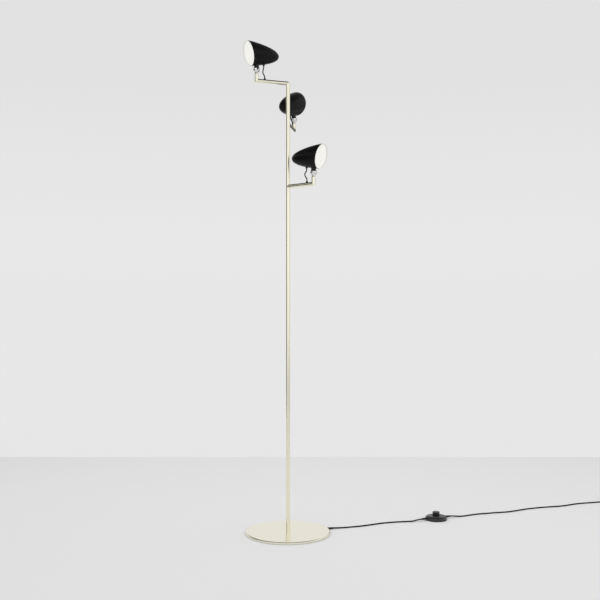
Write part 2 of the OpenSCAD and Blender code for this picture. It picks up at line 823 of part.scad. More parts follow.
// ---------- Nodes ----------

base_pad();
base_plate();
pole_insert();
pole_nut();
base_bush();
pole();
inner_cable();
arm_bushes();
for (i = [0 : 2]) {
    arm(i);
    aimed(i) knuckle_lower();
    aimed(i) knuckle_washer();
    aimed(i) knuckle_screw();
    tilted(i) knuckle_upper();
    tilted(i) shade_nut();
    tilted(i) shade();
    tilted(i) heat_sink();
    tilted(i) led_board();
    tilted(i) reflector();
    tilted(i) diffuser();
    tilted(i) shade_bush();
    jumper(i);
}
switch_base();
switch_cover();
switch_button();
switch_spring();
switch_contacts();
switch_screws();
switch_sleeves();
lead_near();
lead_far();
lead_coil();
coil_tie();
plug_body();
plug_pins();
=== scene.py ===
import json
import math

import bmesh
import bpy
from mathutils import Matrix, Vector


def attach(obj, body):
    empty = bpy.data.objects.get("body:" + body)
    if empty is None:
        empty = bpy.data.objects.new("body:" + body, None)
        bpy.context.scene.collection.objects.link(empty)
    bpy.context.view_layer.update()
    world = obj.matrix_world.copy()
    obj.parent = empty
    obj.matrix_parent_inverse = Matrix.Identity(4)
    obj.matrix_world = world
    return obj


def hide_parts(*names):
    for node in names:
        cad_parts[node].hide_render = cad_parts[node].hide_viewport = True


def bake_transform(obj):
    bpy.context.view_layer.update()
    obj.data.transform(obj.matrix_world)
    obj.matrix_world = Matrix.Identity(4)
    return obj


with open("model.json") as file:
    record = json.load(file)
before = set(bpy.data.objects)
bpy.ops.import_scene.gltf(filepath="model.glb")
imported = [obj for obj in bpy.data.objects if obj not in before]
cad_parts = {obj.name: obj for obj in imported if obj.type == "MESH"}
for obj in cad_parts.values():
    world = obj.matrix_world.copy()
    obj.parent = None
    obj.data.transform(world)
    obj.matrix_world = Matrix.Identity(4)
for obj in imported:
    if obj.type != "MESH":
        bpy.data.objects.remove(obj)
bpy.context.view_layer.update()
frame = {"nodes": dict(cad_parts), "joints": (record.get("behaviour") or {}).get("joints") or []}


# Camera. It stands level in front of the lamp, at about half the lamp's height, and shows the
# same field as the photograph. The photograph's frame is square.
mm = 0.001
eye_right, eye_back, eye_height = 42.7 * mm, 3070 * mm, 830 * mm
camera = bpy.data.objects.new("camera", bpy.data.cameras.new("camera"))
camera.data.sensor_width = 36
camera.data.lens = 51.72
camera.location = (eye_right, -eye_back, eye_height)
camera.rotation_euler = (math.radians(90), 0, 0)
bpy.context.scene.collection.objects.link(camera)
bpy.context.scene.camera = camera


# Mains lead. Round black flex, 5 mm thick, laid loose on the floor from the base to the foot
# switch and on to the right. What the picture doesn't show is wound in two layers of turns.
lead_r = 2.5 * mm
lead_az = math.radians(18)
lead_exit_z = 4 * mm
lead_start_r = 140 * mm
base_bush_tip_r = 174 * mm
switch_at = Vector((557 * mm, 189 * mm, 0))
switch_az = math.radians(22)
sleeve_z = 7.4 * mm
sleeve_root = 34 * mm
sleeve_tip = 62 * mm
held_in, free_from = 10 * mm, 3 * mm
near_points = [
    (188, 61, 0.5), (208, 66.5, 0.1), (232, 74, 0.1), (262, 84, 0.1), (290, 97, 0.1),
    (318, 112, 0.1), (348, 127, 0.1), (378, 137, 0.1), (408, 145, 0.1), (438, 150, 0.1),
    (464, 153, 0.9), (482, 158.5, 3.7),
]
far_points = [
    (632, 219, 3.3), (654, 227, 0.4), (680, 238, 0.1), (708, 253, 0.1), (738, 266, 0.1),
    (768, 274, 0.1), (796, 283, 0.1), (824, 289, 0.1), (852, 297, 0.1), (880, 310, 0.1),
    (908, 326, 0.1), (936, 342, 0.1), (966, 355, 0.1), (996, 366, 0.1), (1026, 375, 0.1),
    (1056, 383, 0.1), (1084, 390, 0.1), (1112, 402, 0.1), (1140, 418, 0.1), (1168, 432, 0.1),
    (1198, 442, 0.1), (1228, 450, 0.1), (1258, 459, 0.1), (1290, 466, 0.3), (1320, 470, 0.9),
]


def polar(radius, azimuth, z):
    """The point that far out from the origin's upright axis, in that direction, at height z."""
    return Vector((radius * math.cos(azimuth), radius * math.sin(azimuth), z))


def smooth_line(points, steps):
    """A smooth curve through the points, in equal steps between each two."""
    line = []
    for i in range(len(points) - 1):
        a, b = points[max(i - 1, 0)], points[i]
        c, d = points[i + 1], points[min(i + 2, len(points) - 1)]
        for t in (k / steps for k in range(steps)):
            line.append(0.5 * (2 * b + (c - a) * t + (2 * a - 5 * b + 4 * c - d) * t ** 2
                               + (3 * b - a - 3 * c + d) * t ** 3))
    return line + [points[-1]]


def line_length(line):
    return sum((b - a).length for a, b in zip(line, line[1:]))


def swept_tube(name, line, radius, sides):
    """A closed round tube along the line. Its UV map runs round it and along it, in metres."""
    rings, last = [], len(line) - 1
    side = None
    for i, centre in enumerate(line):
        ahead = (line[min(i + 1, last)] - line[max(i - 1, 0)]).normalized()
        side = ahead.orthogonal() if side is None else side - ahead * side.dot(ahead)
        side.normalize()
        up = ahead.cross(side)
        rings.append([centre + radius * (math.cos(a) * side + math.sin(a) * up)
                      for a in (math.tau * k / sides for k in range(sides))])
    quads = [(i * sides + k, i * sides + (k + 1) % sides,
              (i + 1) * sides + (k + 1) % sides, (i + 1) * sides + k)
             for i in range(last) for k in range(sides)]
    caps = [tuple(reversed(range(sides))), tuple(range(last * sides, (last + 1) * sides))]
    mesh = bpy.data.meshes.new(name)
    mesh.from_pydata([p for ring in rings for p in ring], [], quads + caps)
    along = [0.0]
    for a, b in zip(line, line[1:]):
        along.append(along[-1] + (b - a).length)
    uv = mesh.uv_layers.new(name="sheath").data
    for face in mesh.polygons:
        for corner, loop in enumerate(face.loop_indices):
            ring, k = divmod(mesh.loops[loop].vertex_index, sides)
            if corner in (1, 2) and k == 0 and len(face.vertices) == 4:
                k = sides
            uv[loop].uv = (math.tau * radius * k / sides, along[ring])
    mesh.shade_smooth()
    mesh.set_sharp_from_angle(angle=math.radians(50))
    return mesh


def new_piece(name, mesh, material, body, slot, *nodes):
    """Puts a finished mesh in the scene. It rides on the body and stands for the CAD nodes."""
    piece = bpy.data.objects.new(name, mesh)
    bpy.context.scene.collection.objects.link(piece)
    mesh.materials.clear()
    mesh.materials.append(material)
    if body:
        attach(piece, body)
    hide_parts(*nodes)
    return piece


def add_node(tree, kind, inputs=None, **settings):
    """A new node. Each of its inputs is given a value, or is linked to another node's output."""
    node = tree.nodes.new(kind)
    for name, value in settings.items():
        setattr(node, name, value)
    for name, value in (inputs or {}).items():
        if isinstance(value, bpy.types.NodeSocket):
            tree.links.new(value, node.inputs[name])
        else:
            node.inputs[name].default_value = value
    return node


def maths(tree, operation, *values):
    """The output of a Math node that works on the values or outputs."""
    return add_node(tree, "ShaderNodeMath", dict(enumerate(values)), operation=operation).outputs[0]


def new_group(name, inputs, outputs):
    """An empty shader group with named sockets, and its input and output nodes."""
    group = bpy.data.node_groups.new(name, "ShaderNodeTree")
    for label, kind, value in inputs:
        socket = group.interface.new_socket(label, in_out="INPUT", socket_type=kind)
        if value is not None:
            socket.default_value = value
    for label, kind in outputs:
        group.interface.new_socket(label, in_out="OUTPUT", socket_type=kind)
    return group, add_node(group, "NodeGroupInput"), add_node(group, "NodeGroupOutput")


def tone_group():
    """Slow changes of a colour's depth over a surface, as in any real paint, metal or plastic."""
    group, given, out = new_group(
        "tone",
        [("Vector", "NodeSocketVector", None), ("Color", "NodeSocketColor", (1, 1, 1, 1)),
         ("Spread", "NodeSocketFloat", 0.1), ("Scale", "NodeSocketFloat", 20.0)],
        [("Color", "NodeSocketColor"), ("Mask", "NodeSocketFloat")])
    cloud = add_node(group, "ShaderNodeTexNoise", {
        "Vector": given.outputs["Vector"], "Scale": given.outputs["Scale"], "Detail": 3.0})
    swing = maths(group, "MULTIPLY_ADD", cloud.outputs["Fac"], 2.0, -1.0)
    level = maths(group, "MULTIPLY_ADD", swing, given.outputs["Spread"], 1.0)
    shaded = add_node(group, "ShaderNodeVectorMath", {
        0: given.outputs["Color"], "Scale": level}, operation="SCALE")
    group.links.new(shaded.outputs[0], out.inputs["Color"])
    group.links.new(cloud.outputs["Fac"], out.inputs["Mask"])
    return group


def grain_group():
    """Fine relief of two sizes: the texture of a moulded, painted or drawn surface."""
    group, given, out = new_group(
        "grain",
        [("Vector", "NodeSocketVector", None), ("Scale", "NodeSocketFloat", 2000.0),
         ("Coarse", "NodeSocketFloat", 0.3)],
        [("Height", "NodeSocketFloat"), ("Mask", "NodeSocketFloat")])
    fine = add_node(group, "ShaderNodeTexNoise", {
        "Vector": given.outputs["Vector"], "Scale": given.outputs["Scale"], "Detail": 2.0})
    coarse = add_node(group, "ShaderNodeTexNoise", {
        "Vector": given.outputs["Vector"],
        "Scale": maths(group, "MULTIPLY", given.outputs["Scale"], 0.17), "Detail": 1.0})
    height = maths(group, "MULTIPLY_ADD", coarse.outputs["Fac"], given.outputs["Coarse"],
                   fine.outputs["Fac"])
    group.links.new(height, out.inputs["Height"])
    group.links.new(coarse.outputs["Fac"], out.inputs["Mask"])
    return group


def dust_group():
    """Sparse pale specks, thickest on what faces up."""
    group, given, out = new_group(
        "dust",
        [("Vector", "NodeSocketVector", None), ("Color", "NodeSocketColor", (1, 1, 1, 1)),
         ("Amount", "NodeSocketFloat", 0.3), ("Scale", "NodeSocketFloat", 900.0)],
        [("Color", "NodeSocketColor"), ("Mask", "NodeSocketFloat")])
    specks = add_node(group, "ShaderNodeTexNoise", {
        "Vector": given.outputs["Vector"], "Scale": given.outputs["Scale"], "Detail": 4.0})
    spots = add_node(group, "ShaderNodeMapRange", {
        "Value": specks.outputs["Fac"], "From Min": 0.6, "From Max": 0.75})
    normal = add_node(group, "ShaderNodeNewGeometry").outputs["Normal"]
    up = maths(group, "MAXIMUM", add_node(
        group, "ShaderNodeSeparateXYZ", {"Vector": normal}).outputs["Z"], 0.15)
    mask = maths(group, "MULTIPLY", maths(group, "MULTIPLY", spots.outputs[0], up),
                 given.outputs["Amount"])
    mixed = add_node(group, "ShaderNodeMix", {
        0: mask, 6: given.outputs["Color"], 7: (0.5, 0.49, 0.47, 1)}, data_type="RGBA")
    group.links.new(mixed.outputs[2], out.inputs["Color"])
    group.links.new(mask, out.inputs["Mask"])
    return group


tone, grain, dust = tone_group(), grain_group(), dust_group()


def new_finish(name, color, metallic=0.0, **numbers):
    """A material with its shader, and the object coordinates that its pattern follows."""
    material = bpy.data.materials.new(name)
    material.use_nodes = True
    tree = material.node_tree
    shader = tree.nodes["Principled BSDF"]
    shader.inputs["Base Color"].default_value = (*color, 1)
    shader.inputs["Metallic"].default_value = metallic
    for label, value in numbers.items():
        shader.inputs[label.replace("_", " ")].default_value = value
    return material, tree, shader, add_node(tree, "ShaderNodeTexCoord").outputs["Object"]


def give_tone(tree, shader, vector, spread, scale, gloss, dusty=0.0):
    """Varies the shader's colour by spread, and its roughness between gloss's two values."""
    tint = add_node(tree, "ShaderNodeGroup", node_tree=tone)
    tint.inputs["Color"].default_value = shader.inputs["Base Color"].default_value
    tint.inputs["Spread"].default_value = spread
    tint.inputs["Scale"].default_value = scale
    tree.links.new(vector, tint.inputs["Vector"])
    rough = add_node(tree, "ShaderNodeMapRange", {
        "Value": tint.outputs["Mask"], "From Min": 0.3, "From Max": 0.7,
        "To Min": gloss[0], "To Max": gloss[1]})
    tree.links.new(rough.outputs[0], shader.inputs["Roughness"])
    color = tint.outputs["Color"]
    if dusty:
        specks = add_node(tree, "ShaderNodeGroup", node_tree=dust)
        specks.inputs["Amount"].default_value = dusty
        tree.links.new(vector, specks.inputs["Vector"])
        tree.links.new(color, specks.inputs["Color"])
        color = specks.outputs["Color"]
    tree.links.new(color, shader.inputs["Base Color"])


def give_grain(tree, shader, vector, scale, coarse, strength, depth):
    """Raises fine relief of the given depth on the shader's surface."""
    relief = add_node(tree, "ShaderNodeGroup", node_tree=grain)
    relief.inputs["Scale"].default_value = scale
    relief.inputs["Coarse"].default_value = coarse
    tree.links.new(vector, relief.inputs["Vector"])
    bump = add_node(tree, "ShaderNodeBump", {
        "Height": relief.outputs["Height"], "Strength": strength, "Distance": depth})
    tree.links.new(bump.outputs["Normal"], shader.inputs["Normal"])


def stretched(tree, vector, scale):
    """The coordinates with their pattern drawn out, by a smaller scale along one axis."""
    return add_node(tree, "ShaderNodeMapping", {
        "Vector": vector, "Scale": scale}).outputs["Vector"]


def sheath_finish():
    """Soft black vinyl, drawn lengthwise, with a little floor dust on top."""
    material, tree, shader, place = new_finish("sheath_vinyl", (0.004, 0.004, 0.0043),
                                               Specular_IOR_Level=0.15)
    give_tone(tree, shader, place, 0.25, 60.0, (0.42, 0.58), dusty=0.06)
    drawn = stretched(tree, add_node(tree, "ShaderNodeTexCoord").outputs["UV"], (1, 0.04, 1))
    give_grain(tree, shader, drawn, 2500.0, 0.4, 0.35, 0.08 * mm)
    return material


sheath = sheath_finish()


def beside_switch(x):
    """A point on the lead's line through the switch, x from the switch's centre."""
    return switch_at + polar(x, switch_az, sleeve_z)


def on_floor(points):
    """The lead's middle where its underside is as high above the floor as each point says."""
    return [Vector(p) * mm + Vector((0, 0, lead_r)) for p in points]


near_line = smooth_line(
    [polar(radius, lead_az, lead_exit_z)
     for radius in (lead_start_r, base_bush_tip_r - held_in, base_bush_tip_r + 2 * mm)]
    + on_floor(near_points)
    + [beside_switch(-sleeve_tip - free_from), beside_switch(-sleeve_tip + held_in),
       beside_switch(-sleeve_root)], 6)
lead_to_switch = new_piece("lead_to_switch", swept_tube("lead_to_switch", near_line, lead_r, 16),
                           sheath, "stand", "cable_black", "lead_near")

coil_at = Vector((1345 * mm, 512 * mm, 0))
coil_az = math.radians(-85)
coil_heading = coil_az + math.pi / 2
turns_per_layer = 3.5
half_coil = turns_per_layer * math.tau
coil_in_r = 20.5 * mm
coil_pitch = 2 * lead_r + 0.45 * mm
coil_out_r = coil_in_r + coil_pitch * turns_per_layer
tie_t, tie_gap = 0.8 * mm, 0.2 * mm
coil_z = tie_t + 2 * tie_gap + lead_r
plug_half_t = 8.5 * mm
rings_per_turn = 48


def coil_point(turned):
    """Spirals in over the first layer, climbs at its inner end and spirals out over the second."""
    inward = turned < half_coil
    radius = (coil_out_r - coil_pitch * turned / math.tau if inward
              else coil_in_r + coil_pitch * (turned - half_coil) / math.tau)
    t = min(1.0, max(0.0, (turned - half_coil) / math.pi + 0.5))
    lift = coil_pitch * t * t * (3 - 2 * t)
    return coil_at + polar(radius, coil_az + turned, coil_z + lift)


coil_start, coil_end = coil_point(0), coil_point(2 * half_coil)
rings = int(2 * turns_per_layer * rings_per_turn)
wound = [coil_point(2 * half_coil * k / rings) for k in range(2, rings + 1)]
tail = [coil_end + polar(out * mm, coil_heading, share * (plug_half_t - coil_end.z))
        for out, share in ((5, 0), (12, 0), (20, 0.7), (25, 1), (30, 1))]
far_line = smooth_line(
    [beside_switch(sleeve_root), beside_switch(sleeve_tip - held_in),
     beside_switch(sleeve_tip + free_from)]
    + on_floor(far_points)
    + [coil_start - polar(2 * lead_r, coil_heading, 0), coil_start,
       coil_start + polar(2 * lead_r, coil_heading, 0)], 5) + wound + smooth_line(
    [coil_end] + tail, 4)[1:]
lead_to_plug = new_piece("lead_to_plug", swept_tube("lead_to_plug", far_line, lead_r, 12),
                         sheath, "stand", "cable_black", "lead_far", "lead_coil")


# Strain reliefs. Tapered sleeves of soft black rubber where the lead leaves the base and where it
# enters and leaves the foot switch, and the strap that holds the coil. They keep the CAD's shapes.
def finish_nodes(material, *nodes):
    """Gives CAD nodes, whose shapes are kept, the finish that they are made in."""
    for name in nodes:
        frame["nodes"][name].material_slots[0].material = material


def rubber_finish():
    """Dull black rubber with a fine grain and some dust."""
    material, tree, shader, place = new_finish("soft_rubber", (0.009, 0.009, 0.0095),
                                               Specular_IOR_Level=0.3)
    give_tone(tree, shader, place, 0.2, 90.0, (0.5, 0.68), dusty=0.15)
    give_grain(tree, shader, place, 2600.0, 0.5, 0.3, 0.06 * mm)
    return material


rubber = rubber_finish()
finish_nodes(rubber, "base_bush", "switch_sleeves", "coil_tie")


# Foot switch. A low round housing moulded in dark grey plastic over a black floor plate, closed
# by three screws from below. The black button in its middle leans out towards its top.
def filleted(corners, steps=5):
    """The closed outline through (r, z, fillet) corners, in millimetres, as points in metres.

    A fillet's arc has the right middle, but always a radius of 1 mm, since slerp gives directions.
    So a corner with a smaller fillet stands out by the difference, and a larger one falls back."""
    outline = []
    for i, (r, z, fillet) in enumerate(corners):
        here = Vector((r, z))
        if not fillet:
            outline.append(here * mm)
            continue
        back = (Vector(corners[i - 1][:2]) - here).normalized()
        on = (Vector(corners[(i + 1) % len(corners)][:2]) - here).normalized()
        half = back.angle(on) / 2
        centre = here + (back + on).normalized() * fillet / math.sin(half)
        to_first = here + back * fillet / math.tan(half) - centre
        to_last = here + on * fillet / math.tan(half) - centre
        outline += [(centre + to_first.slerp(to_last, k / steps)) * mm for k in range(steps + 1)]
    return outline


def turned(name, outline, place, segments=96):
    """A closed solid made by turning a closed outline round the local Z axis."""
    count = len(outline)
    points = [place @ Vector((p.x * math.cos(a), p.x * math.sin(a), p.y))
              for a in (math.tau * k / segments for k in range(segments)) for p in outline]
    quads = [(k * count + i, (k + 1) % segments * count + i,
              (k + 1) % segments * count + (i + 1) % count, k * count + (i + 1) % count)
             for k in range(segments) for i in range(count)]
    mesh = bpy.data.meshes.new(name)
    mesh.from_pydata(points, [], quads)
    return closed(mesh)


def closed(mesh, sharp=32):
    """Merges a mesh's doubled points, turns its faces out and smooths all but its sharp edges."""
    shape = bmesh.new()
    shape.from_mesh(mesh)
    bmesh.ops.remove_doubles(shape, verts=shape.verts, dist=1e-6)
    bmesh.ops.dissolve_degenerate(shape, edges=shape.edges, dist=1e-7)
    bmesh.ops.recalc_face_normals(shape, faces=shape.faces)
    shape.to_mesh(mesh)
    shape.free()
    mesh.shade_smooth()
    mesh.set_sharp_from_angle(angle=math.radians(sharp))
    return mesh


def moulded_finish(name, color, gloss, dusty):
    """Injection-moulded plastic with a fine spark texture."""
    material, tree, shader, place = new_finish(name, color, Coat_Roughness=0.3)
    give_tone(tree, shader, place, 0.12, 70.0, gloss, dusty)
    give_grain(tree, shader, place, 2200.0, 0.6, 0.22, 0.05 * mm)
    return material


at_switch = Matrix.Translation(switch_at) @ Matrix.Rotation(switch_az, 4, "Z")
housing_grey = moulded_finish("switch_housing", (0.022, 0.022, 0.023), (0.26, 0.36), 0.05)
button_black = moulded_finish("switch_button_black", (0.012, 0.012, 0.0125), (0.2, 0.3), 0.05)
floor_plate_t, cover_foot = 2, 2.05
wall_r, hole_r, dome_z, top_z, skin = 40, 14.4, 9, 17, 2
flat_r = hole_r + 3
dome_steps = 14
dome = [(flat_r + (wall_r - flat_r) * math.cos(a), dome_z + (top_z - dome_z) * math.sin(a), 0)
        for a in (math.pi / 2 * k / dome_steps for k in range(dome_steps))]
underside = [(r - skin, z - skin * (z - floor_plate_t) / (top_z - floor_plate_t), 0)
             for r, z, _ in reversed(dome)]
cover_outline = filleted(
    [(wall_r - skin, cover_foot, 0.3), (wall_r, cover_foot, 0.6)] + dome
    + [(flat_r, top_z, 0), (hole_r, top_z, 0.7), (hole_r, top_z - skin, 0)] + underside)
switch_cover = new_piece("switch_housing", turned("switch_housing", cover_outline, at_switch),
                         housing_grey, "stand", "switch_grey", "switch_cover")
flange_r, flange_z, flange_t = 16, 12.5, 1.6
waist_r, button_r, button_z = 12, 14, 30
dish_r, dish_deep = 9, 0.5
button_outline = filleted([
    (0, flange_z, 0), (flange_r, flange_z, 0.2), (flange_r, flange_z + flange_t, 0.2),
    (waist_r, flange_z + flange_t, 0), (waist_r, top_z, 0), (button_r, button_z - 1.4, 0),
    (button_r, button_z, 1.3), (dish_r + 1, button_z, 0.8), (dish_r, button_z - dish_deep, 0.8),
    (0, button_z - dish_deep - 0.1, 0)])
switch_button = new_piece("foot_button", turned("foot_button", button_outline, at_switch, 64),
                          button_black, "foot_button", "switch_black", "switch_button")
finish_nodes(sheath, "switch_base")


# Plug. A flat two-pin plug of glossy black vinyl, moulded on the end of the lead, with a neck of
# seven ribs, thick and thin in turn. The pins are nickel-plated brass.
plug_shoulder, plug_long, plug_half_w, plug_edge = 22 * mm, 36 * mm, 17.5 * mm, 2.6 * mm
at_plug = Matrix.Translation(tail[-1]) @ Matrix.Rotation(coil_heading, 4, "Z")


def plug_body_mesh():
    """The body's flat outline, raised to its thickness with rounded edges."""
    halves = [(plug_shoulder, 7.5 * mm), (plug_shoulder + 5 * mm, 12 * mm),
              (plug_shoulder + 15 * mm, 16.5 * mm), (plug_shoulder + plug_long, plug_half_w)]
    shape = bmesh.new()
    ring = [shape.verts.new((x, s * y, -plug_half_t))
            for s, side in ((1, halves), (-1, halves[::-1])) for x, y in side]
    floor = shape.faces.new(ring)
    top = bmesh.ops.extrude_face_region(shape, geom=[floor])
    bmesh.ops.translate(shape, verts=[v for v in top["geom"] if isinstance(v, bmesh.types.BMVert)],
                        vec=(0, 0, 2 * plug_half_t))
    bmesh.ops.recalc_face_normals(shape, faces=shape.faces)
    bmesh.ops.bevel(shape, geom=shape.edges, offset=plug_edge, segments=5, profile=0.55,
                    affect="EDGES")
    bmesh.ops.transform(shape, matrix=at_plug, verts=shape.verts)
    mesh = bpy.data.meshes.new("plug_moulding")
    shape.to_mesh(mesh)
    shape.free()
    return closed(mesh, sharp=60)


def vinyl_finish():
    """Glossy black vinyl, moulded in one piece with the lead's end."""
    material, tree, shader, place = new_finish("plug_vinyl", (0.013, 0.013, 0.014), Coat_Weight=0.3)
    give_tone(tree, shader, place, 0.15, 80.0, (0.2, 0.34), dusty=0.1)
    give_grain(tree, shader, place, 1400.0, 0.8, 0.12, 0.05 * mm)
    return material


vinyl = vinyl_finish()
neck_r, neck_widens, neck_bore_r = 3.3, 0.55, 2.6
ribs, rib_from, rib_pitch, rib_long, rib_edge = 7, 1, 3.3, 1.9, 0.5
neck_end = plug_shoulder / mm + 1.5
neck_outline = [(neck_bore_r, 0, 0), (neck_r - 0.2, 0, 0.3)]
for k in range(ribs):
    rib_r = neck_r + neck_widens * k / (ribs - 1) + (0.5 if k % 2 else -0.1)
    rib_z = rib_from + rib_pitch * k
    neck_outline += [(rib_r, rib_z, rib_edge), (rib_r, rib_z + rib_long, rib_edge)]
neck_outline = filleted(neck_outline + [(5, neck_end, 0), (neck_bore_r, neck_end, 0)])
along_lead = at_plug @ Matrix.Rotation(math.pi / 2, 4, "Y")
plug_body = new_piece("plug_moulding", plug_body_mesh(), vinyl, "stand", "plug_black", "plug_body")
plug_neck = new_piece("plug_neck", turned("plug_neck", neck_outline, along_lead, 40), vinyl,
                      "stand", "plug_black", "plug_body")


def plated_finish(name, color, gloss):
    """Bright plated metal with fine handling marks."""
    material, tree, shader, place = new_finish(name, color, metallic=1.0)
    give_tone(tree, shader, place, 0.06, 120.0, gloss)
    give_grain(tree, shader, stretched(tree, place, (1, 0.15, 1)), 1800.0, 0.4, 0.05, 0.03 * mm)
    return material


nickel = plated_finish("nickel_plate", (0.72, 0.69, 0.63), (0.16, 0.3))
finish_nodes(nickel, "plug_pins")


# Base, pole and arms. Pale champagne brass, brushed and lacquered. The plate is turned, so that its
# brush marks run in rings. The tubes are drawn, with marks along their length.
def brush_group():
    """Noise of two sizes. Coordinates squeezed in one direction draw it out into brush marks."""
    group, given, out = new_group(
        "brush",
        [("Vector", "NodeSocketVector", None), ("Scale", "NodeSocketFloat", 2500.0)],
        [("Height", "NodeSocketFloat"), ("Mask", "NodeSocketFloat")])
    fine = add_node(group, "ShaderNodeTexNoise", {
        "Vector": given.outputs["Vector"], "Scale": given.outputs["Scale"], "Detail": 3.0})
    broad = add_node(group, "ShaderNodeTexNoise", {
        "Vector": given.outputs["Vector"],
        "Scale": maths(group, "MULTIPLY", given.outputs["Scale"], 0.08), "Detail": 2.0})
    group.links.new(fine.outputs["Fac"], out.inputs["Height"])
    group.links.new(broad.outputs["Fac"], out.inputs["Mask"])
    return group


brush = brush_group()
brass_color = (0.92, 0.89, 0.735)


def brass_finish(name, lay_marks, gloss):
    """Brushed brass. lay_marks turns object coordinates into those that the marks follow."""
    material, tree, shader, place = new_finish(name, brass_color, metallic=1.0, Coat_Weight=0.25,
                                               Coat_Roughness=0.12)
    give_tone(tree, shader, place, 0.035, 14.0, gloss)
    marks = add_node(tree, "ShaderNodeGroup", node_tree=brush)
    tree.links.new(lay_marks(tree, place), marks.inputs["Vector"])
    bump = add_node(tree, "ShaderNodeBump", {
        "Height": marks.outputs["Height"], "Strength": 0.06, "Distance": 0.02 * mm})
    tree.links.new(bump.outputs["Normal"], shader.inputs["Normal"])
    return material


def in_rings(tree, place):
    """Coordinates for marks that run in rings round the pole's axis."""
    split = add_node(tree, "ShaderNodeSeparateXYZ", {"Vector": place})
    across = maths(tree, "SQRT", maths(
        tree, "ADD", maths(tree, "POWER", split.outputs["X"], 2.0),
        maths(tree, "POWER", split.outputs["Y"], 2.0)))
    return add_node(tree, "ShaderNodeCombineXYZ", {
        "X": maths(tree, "MULTIPLY", split.outputs["X"], 0.03),
        "Y": maths(tree, "MULTIPLY", split.outputs["Y"], 0.03), "Z": across}).outputs[0]


def along_tube(azimuth, scale):
    """Coordinates for marks along a tube that is upright or lies in the given direction."""
    def lay(tree, place):
        return add_node(tree, "ShaderNodeMapping", {
            "Vector": place, "Rotation": (0, 0, -azimuth), "Scale": scale}).outputs["Vector"]
    return lay


joint_of = {j["child"]: j for j in frame["joints"]}
heads = ("top", "middle", "bottom")
finish_nodes(brass_finish("brass_plate", in_rings, (0.2, 0.27)), "base_plate")
finish_nodes(brass_finish("brass_pole", along_tube(0, (1, 1, 0.02)), (0.13, 0.19)), "pole")
for head in heads:
    out_x, out_y, _ = joint_of["swivel_" + head]["pos_m"]
    lay = along_tube(math.atan2(out_y, out_x), (0.02, 1, 1))
    finish_nodes(brass_finish("brass_arm_" + head, lay, (0.13, 0.19)), "arm_" + head)


# Inside the base and the tubes: a felt pad under the plate, the steel insert and nut that hold
# the pole, the white wiring and the rubber bushes through which it leaves the arms. The foot
# switch's spring, screws and contacts have the same steel and white plastic.
def felt_finish():
    """Coarse black felt."""
    material, tree, shader, place = new_finish("felt", (0.05, 0.05, 0.052), Sheen_Weight=0.4)
    give_tone(tree, shader, place, 0.3, 40.0, (0.85, 1.0))
    give_grain(tree, shader, place, 900.0, 1.0, 0.8, 0.2 * mm)
    return material


def insulation_finish(name, color):
    """Plain moulded plastic or nylon, hardly marked."""
    material, tree, shader, place = new_finish(name, color)
    give_tone(tree, shader, place, 0.05, 50.0, (0.4, 0.55))
    give_grain(tree, shader, place, 1500.0, 0.5, 0.15, 0.04 * mm)
    return material


zinc = plated_finish("zinc_plate", (0.56, 0.57, 0.58), (0.3, 0.45))
white_plastic = insulation_finish("white_plastic", (0.78, 0.78, 0.75))
finish_nodes(felt_finish(), "base_pad")
finish_nodes(zinc, "pole_insert", "pole_nut", "switch_spring", "switch_screws")
finish_nodes(white_plastic, "inner_cable", "switch_contacts")
finish_nodes(rubber, "arm_bushes")


# Where each head stands. Its swivel's ball is over the end of its arm. The shade is turned from the
# arm's direction, and the middle one is tilted up. Each tilts up to the same angle above level.
most_up = math.radians(30)


def arm_frame(head):
    """The frame at a swivel's ball, with x along its arm."""
    ball = Vector(joint_of["swivel_" + head]["pos_m"])
    return Matrix.Translation(ball) @ Matrix.Rotation(math.atan2(ball.y, ball.x), 4, "Z")


def shade_frame(head):
    """The frame at a swivel's ball, with x along its shade's axis."""
    joint = joint_of["head_" + head]
    side_x, side_y, _ = joint["axis"]
    tilt = most_up - math.radians(joint["range_deg"][1])
    return (Matrix.Translation(joint["pos_m"]) @ Matrix.Rotation(math.atan2(side_x, -side_y), 4, "Z")
            @ Matrix.Rotation(-tilt, 4, "Y"))


# Ball swivels. Polished chrome on brass, in two halves that a blackened screw clamps over a thin
# nylon washer. The lower half turns in its stem. The upper half carries the shade, and is coloured
# satin black where it meets it: a painted reflection of the black shade just above.
chrome_color, chrome_gloss = (0.80, 0.80, 0.79), (0.04, 0.09)
dark_reflection_from, dark_reflection_blur = 6.4 * mm, 0.1 * mm
chrome = plated_finish("polished_chrome", chrome_color, chrome_gloss)


def chrome_with_painted_reflection(head):
    """The same chrome, satin black on what is higher than a set height over the ball: a painted
    reflection of the black shade above.
    """
    material = plated_finish("chrome_painted_reflection_" + head, chrome_color, chrome_gloss)
    tree = material.node_tree
    shader = tree.nodes["Principled BSDF"]
    place = tree.nodes["Texture Coordinate"].outputs["Object"]
    frame_here = shade_frame(head)
    up = frame_here.col[2].xyz
    edge = frame_here.translation.dot(up) + dark_reflection_from
    height = add_node(tree, "ShaderNodeVectorMath", {0: place, 1: up}, operation="DOT_PRODUCT")
    painted_reflection = add_node(tree, "ShaderNodeMapRange", {
        "Value": height.outputs["Value"], "From Min": edge - dark_reflection_blur,
        "From Max": edge + dark_reflection_blur}).outputs[0]
    bare = shader.inputs["Base Color"].links[0].from_socket
    gloss = shader.inputs["Roughness"].links[0].from_socket
    # The near-black colour above that height is a painted reflection of the black shade in the
    # ball's top and neck.
    mixed = add_node(tree, "ShaderNodeMix", {0: painted_reflection, 6: bare, 7: (0.008, 0.008, 0.008, 1)},
                     data_type="RGBA")
    tree.links.new(mixed.outputs[2], shader.inputs["Base Color"])
    tree.links.new(maths(tree, "MULTIPLY_ADD", painted_reflection, 0.25, gloss), shader.inputs["Roughness"])
    tree.links.new(maths(tree, "SUBTRACT", 1.0, painted_reflection), shader.inputs["Metallic"])
    return material


